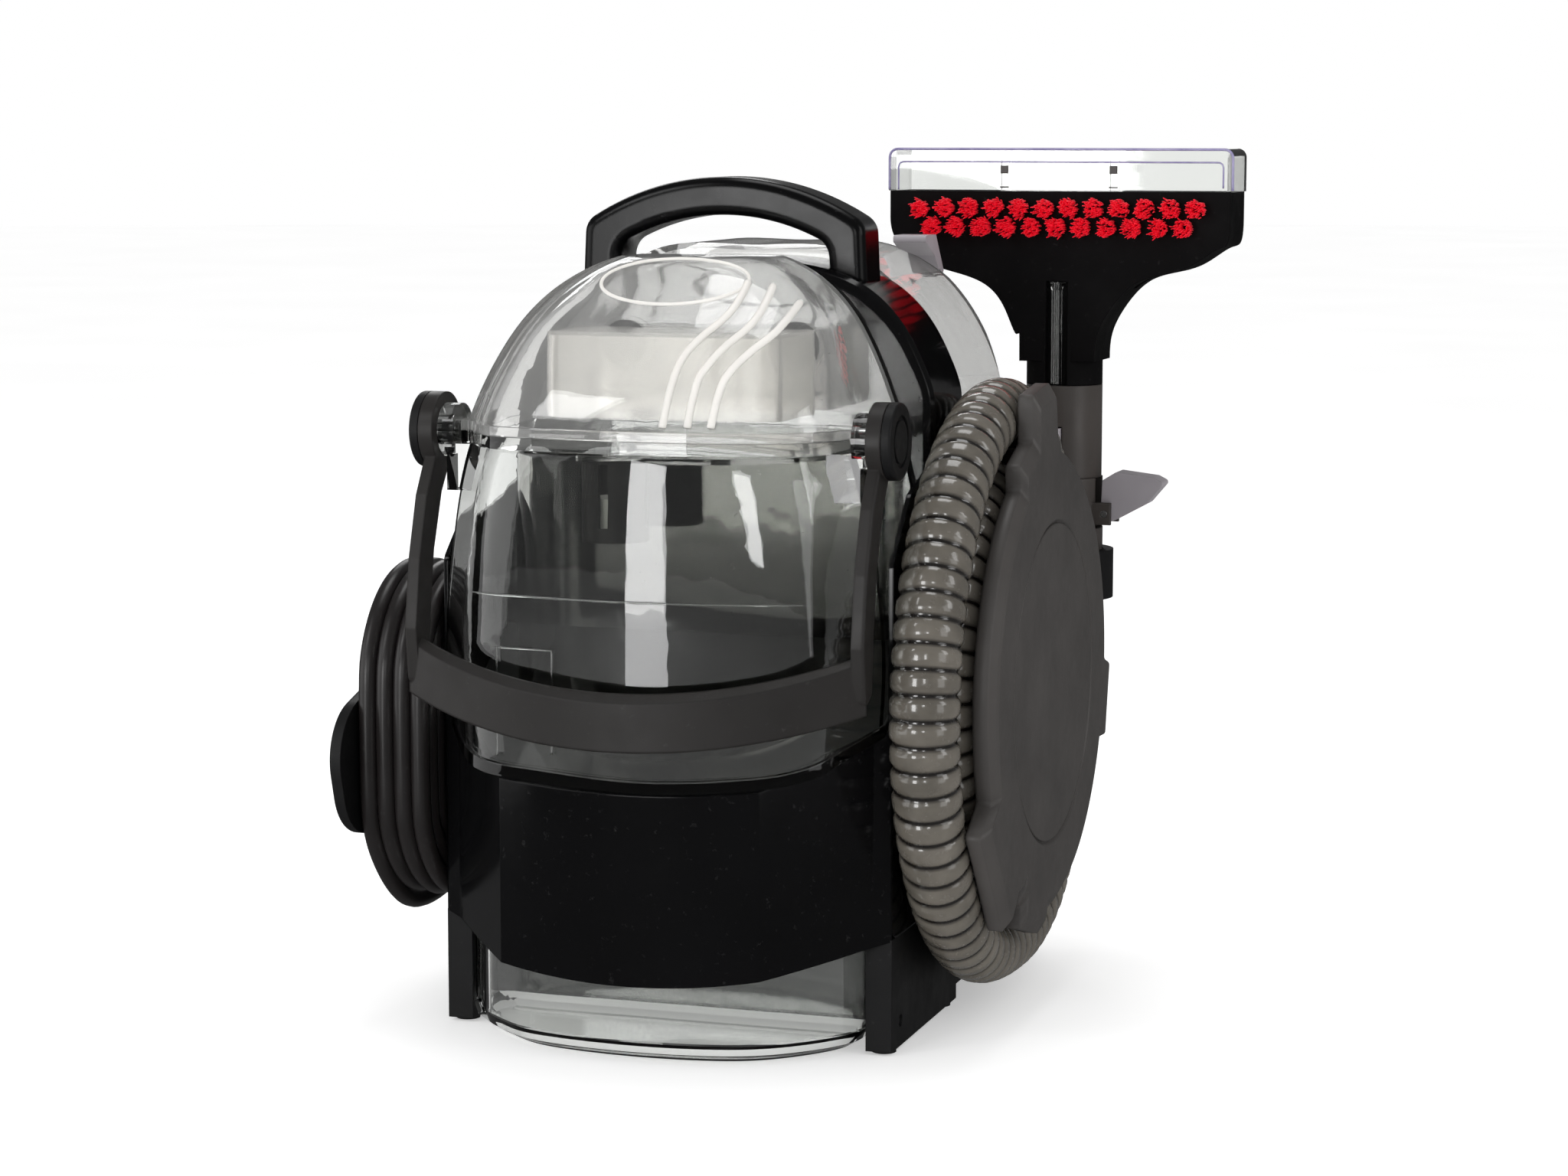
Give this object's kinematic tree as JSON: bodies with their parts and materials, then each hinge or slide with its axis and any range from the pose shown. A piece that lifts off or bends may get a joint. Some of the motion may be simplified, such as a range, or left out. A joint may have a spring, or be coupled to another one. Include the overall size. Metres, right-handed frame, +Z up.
{
  "type": "spot extractor",
  "caption": "Portable carpet and upholstery spot extractor with clear recovery tank, domed lid, wound suction hose with spray tool, and cord wrap.",
  "frame": {"origin": "on the floor under the carry handle, in the body's mid-plane, at the centre foot", "axes": "+Z up, -Y towards the recovery tank and bail handle (front), +X towards the hose and tool"},
  "size_m": [0.326, 0.3132, 0.363],
  "materials": {
    "gloss_black": "high-gloss moulded black",
    "satin_black": "satin moulded black",
    "charcoal": "fine-textured charcoal",
    "disc_grey": "fine-textured dark grey",
    "clear": "clear moulding",
    "hose_smoke": "translucent smoke corrugated",
    "grip_grey": "satin dark grey-brown",
    "light_grey": "satin light grey",
    "bristle_red": "nylon bristle",
    "rubber_black": "moulded rubber",
    "cord_black": "satin flexible jacket",
    "steel": "zinc-plated steel",
    "brass": "nickel-free brass",
    "copper_motor": "enamelled copper winding",
    "aluminium": "die-cast",
    "white_plastic": "moulded white"
  },
  "bodies": {
    "machine": {"chassis_base": "satin_black", "rubber_feet": "rubber_black", "screws": "steel", "clear_base_shell": "clear", "lower_housing": "satin_black", "front_cover": "gloss_black", "tank_deck": "satin_black", "side_panel_hose": "gloss_black", "side_panel_cord": "gloss_black", "tower_housing": "gloss_black", "carry_handle": "gloss_black", "hose_hub": "disc_grey", "hose_wrap_disc": "disc_grey", "hose_wrap_cap": "disc_grey", "hose_coil": "hose_smoke", "hose_tail": "hose_smoke", "hose_port": "satin_black", "hose_cuff": "grip_grey", "grip_front": "grip_grey", "grip_rear": "grip_grey", "grip_sleeve": "grip_grey", "trigger_pin": "steel", "tool_holder": "satin_black", "cord_spool": "satin_black", "cord_gland": "satin_black", "cord_strain_relief": "cord_black", "cord_lead": "cord_black", "cord_coil": "cord_black", "cord_tail": "cord_black", "plug": "cord_black", "plug_pins": "brass", "plug_clip": "satin_black", "vacuum_motor": "steel", "motor_stator": "copper_motor", "fan_housing": "satin_black", "suction_duct": "satin_black", "vacuum_duct": "satin_black", "water_pump": "white_plastic", "water_heater": "aluminium"},
    "recovery_tank_body": {"recovery_tank": "clear", "tank_separator": "gloss_black", "float_cage": "satin_black", "pivot_caps": "satin_black"},
    "float": {"float_ball": "white_plastic"},
    "bail": {"bail_handle": "charcoal"},
    "lid": {"dome_lid": "clear", "baffle_box": "clear"},
    "clean_tank_body": {"clean_tank": "clear"},
    "tank_valve": {"clean_tank_valve": "white_plastic"},
    "latch": {"tank_latch": "light_grey"},
    "tool": {"tool_head": "gloss_black", "nozzle_window": "clear", "bristle_tufts": "bristle_red", "spray_tube": "clear"},
    "trigger_lever": {"trigger": "light_grey"},
    "release_key": {"release_button": "light_grey"},
    "wrap_plate": {"cord_wrap_plate": "satin_black"},
    "rotor": {"motor_rotor": "steel", "impeller": "aluminium"},
    "switch_rocker": {"power_switch": "bristle_red"}
  },
  "joints": [
    {"name": "recovery_tank_lift", "type": "slide", "parent": "machine", "child": "recovery_tank_body", "axis": [0, 0, 1], "range_m": [0, 0.2]},
    {"name": "float_rise", "type": "slide", "parent": "recovery_tank_body", "child": "float", "axis": [0, 0, 1], "range_m": [0, 0.014]},
    {"name": "bail_swing", "type": "hinge", "parent": "recovery_tank_body", "child": "bail", "pos_m": [0, -0.092, 0.25], "axis": [1, 0, 0], "range_deg": [-150, 0]},
    {"name": "lid_lift", "type": "slide", "parent": "recovery_tank_body", "child": "lid", "axis": [0, 0, 1], "range_m": [0, 0.09]},
    {"name": "clean_tank_lift", "type": "slide", "parent": "machine", "child": "clean_tank_body", "axis": [0, 0, 1], "range_m": [0, 0.2]},
    {"name": "valve_lift", "type": "slide", "parent": "clean_tank_body", "child": "tank_valve", "axis": [0, 0, 1], "range_m": [0, 0.004], "stiffness_N_per_m": 200},
    {"name": "latch_tilt", "type": "hinge", "parent": "clean_tank_body", "child": "latch", "pos_m": [0.0545, 0.0845, 0.3235], "axis": [1, 0, 0], "range_deg": [0, 35]},
    {"name": "tool_pull", "type": "slide", "parent": "machine", "child": "tool", "axis": [0, 0, 1], "range_m": [0, 0.03]},
    {"name": "trigger_squeeze", "type": "hinge", "parent": "machine", "child": "trigger_lever", "pos_m": [0.131, 0.145, 0.199], "axis": [0, 1, 0], "range_deg": [0, 12], "stiffness_Nm_per_rad": 0.5},
    {"name": "release_press", "type": "slide", "parent": "machine", "child": "release_key", "axis": [0, 1, 0], "range_m": [0, 0.0008], "stiffness_N_per_m": 300},
    {"name": "wrap_plate_turn", "type": "hinge", "parent": "machine", "child": "wrap_plate", "pos_m": [-0.134, -0.05, 0.119], "axis": [1, 0, 0], "range_deg": [-20, 90]},
    {"name": "rotor_spin", "type": "hinge", "parent": "machine", "child": "rotor", "pos_m": [-0.028, -0.0225, 0.06], "axis": [0, 0, 1], "continuous": true},
    {"name": "switch_rock", "type": "hinge", "parent": "machine", "child": "switch_rocker", "pos_m": [0, 0.1265, 0.168], "axis": [1, 0, 0], "range_deg": [-12, 0]}
  ]
}
